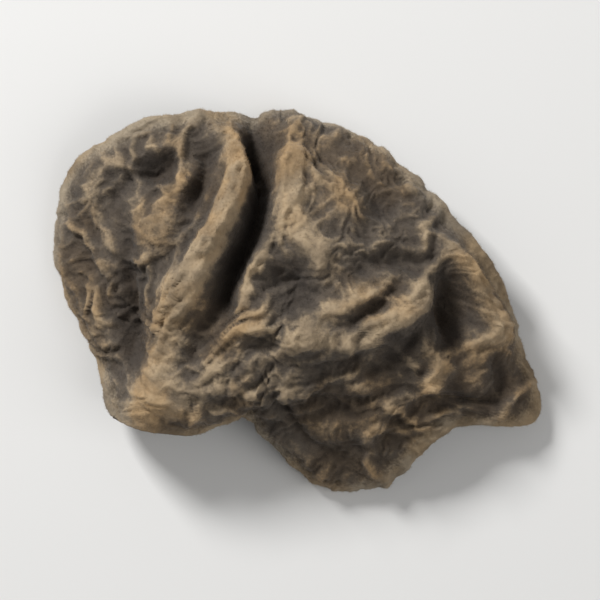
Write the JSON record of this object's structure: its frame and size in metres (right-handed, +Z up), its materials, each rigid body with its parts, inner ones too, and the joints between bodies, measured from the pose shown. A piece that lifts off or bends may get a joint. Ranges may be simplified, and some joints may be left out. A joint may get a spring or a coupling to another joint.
{
  "type": "dried wood ear mushroom",
  "caption": "Dried wood ear fungus: a thin, wrinkled, leathery ear with a rolled margin and a short cut neck, lying felted back up.",
  "frame": {"origin": "on the surface that the ear lies on, under the middle of its bounding box", "axes": "+Z up out of the felted back; +X along the longest side, away from the neck; +Y across, with the neck on the -Y side"},
  "size_m": [0.0284, 0.0222, 0.0086],
  "materials": {
    "dried_tissue": "dry, leathery fungus tissue: matt grey-brown felted back with paler tan folds and margin, near-black brown smooth underside with a faint sheen"
  },
  "bodies": {
    "root": {"fruit_body": "dried_tissue"}
  },
  "joints": []
}
